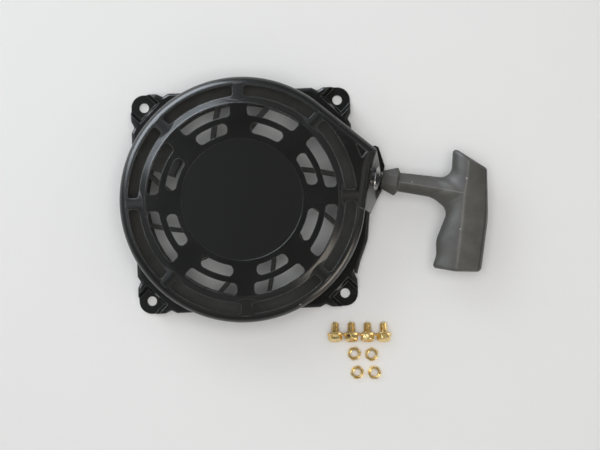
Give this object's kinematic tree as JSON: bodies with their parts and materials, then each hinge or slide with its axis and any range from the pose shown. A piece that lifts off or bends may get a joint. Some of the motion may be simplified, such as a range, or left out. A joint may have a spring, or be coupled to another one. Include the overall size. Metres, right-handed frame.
{
  "type": "recoil starter",
  "caption": "Small-engine recoil starter: slotted steel housing, spring-returned rope pulley with pawls, T grip on a pull rope, and loose mounting screws and nuts.",
  "frame": {"origin": "on the pulley's axis, in the plane of the four mounting pads", "axes": "+Z away from the engine, towards the slotted top; +X towards the side where the rope leaves; X and Y along the sides of the square of mounting holes"},
  "size_m": [0.2117, 0.1785, 0.044],
  "materials": {
    "black_paint": "semi-gloss black paint on pressed steel",
    "bright_steel": "bright nickel-plated steel",
    "plain_steel": "zinc-plated steel",
    "spring_steel": "blued spring steel",
    "rope": "braided nylon cord",
    "black_plastic": "moulded glass-filled nylon",
    "bronze": "sintered bronze",
    "pale_plastic": "natural nylon",
    "grip_rubber": "satin charcoal moulding",
    "yellow_zinc": "yellow zinc plating"
  },
  "bodies": {
    "housing": {"housing": "black_paint", "rope_guide": "bright_steel", "centre_post": "plain_steel", "centre_washer": "plain_steel", "centre_screw": "plain_steel", "friction_spring": "spring_steel", "recoil_spring": "spring_steel", "rope_lead": "rope"},
    "pulley": {"pulley": "black_plastic", "pulley_bushing": "bronze", "pawl_pins": "plain_steel", "rope_winding": "rope", "rope_pulley_knot": "rope"},
    "friction_plate": {"friction_plate": "black_plastic"},
    "pawl_1": {"pawl_1": "pale_plastic"},
    "pawl_2": {"pawl_2": "pale_plastic"},
    "grip": {"grip": "grip_rubber", "grip_insert": "black_plastic", "rope_in_grip": "rope", "rope_grip_knot": "rope"},
    "mounting_screws": {"mounting_screws": "yellow_zinc"},
    "mounting_nuts": {"mounting_nuts": "yellow_zinc"}
  },
  "joints": [
    {"name": "pulley_spin", "type": "hinge", "parent": "housing", "child": "pulley", "pos_m": [0, 0, 0], "axis": [0, 0, 1], "range_deg": [-1000, 0], "stiffness_Nm_per_rad": 0.037, "springref_deg": 756.3},
    {"name": "rope_pull", "type": "slide", "parent": "housing", "child": "grip", "axis": [0.9796, -0.2011, 0], "range_m": [0, 1.06]},
    {"name": "friction_plate_turn", "type": "hinge", "parent": "pulley", "child": "friction_plate", "pos_m": [0, 0, 0.0146], "axis": [0, 0, 1], "range_deg": [0, 34]},
    {"name": "pawl_1_swing", "type": "hinge", "parent": "pulley", "child": "pawl_1", "pos_m": [0.019, 0, 0.0196], "axis": [0, 0, 1], "range_deg": [0, 17]},
    {"name": "pawl_2_swing", "type": "hinge", "parent": "pulley", "child": "pawl_2", "pos_m": [-0.019, 0, 0.0196], "axis": [0, 0, 1], "range_deg": [0, 17]},
    {"name": "screws_lift", "type": "slide", "parent": "housing", "child": "mounting_screws", "axis": [0, 0, 1], "range_m": [0, 0.06]},
    {"name": "nuts_lift", "type": "slide", "parent": "housing", "child": "mounting_nuts", "axis": [0, 0, 1], "range_m": [0, 0.06]}
  ],
  "couplings": [
    {"joint": "rope_pull", "follows": "pulley_spin", "m_per_rad": -0.0607},
    {"joint": "pawl_1_swing", "follows": "friction_plate_turn", "ratio": 0.5},
    {"joint": "pawl_2_swing", "follows": "friction_plate_turn", "ratio": 0.5}
  ]
}
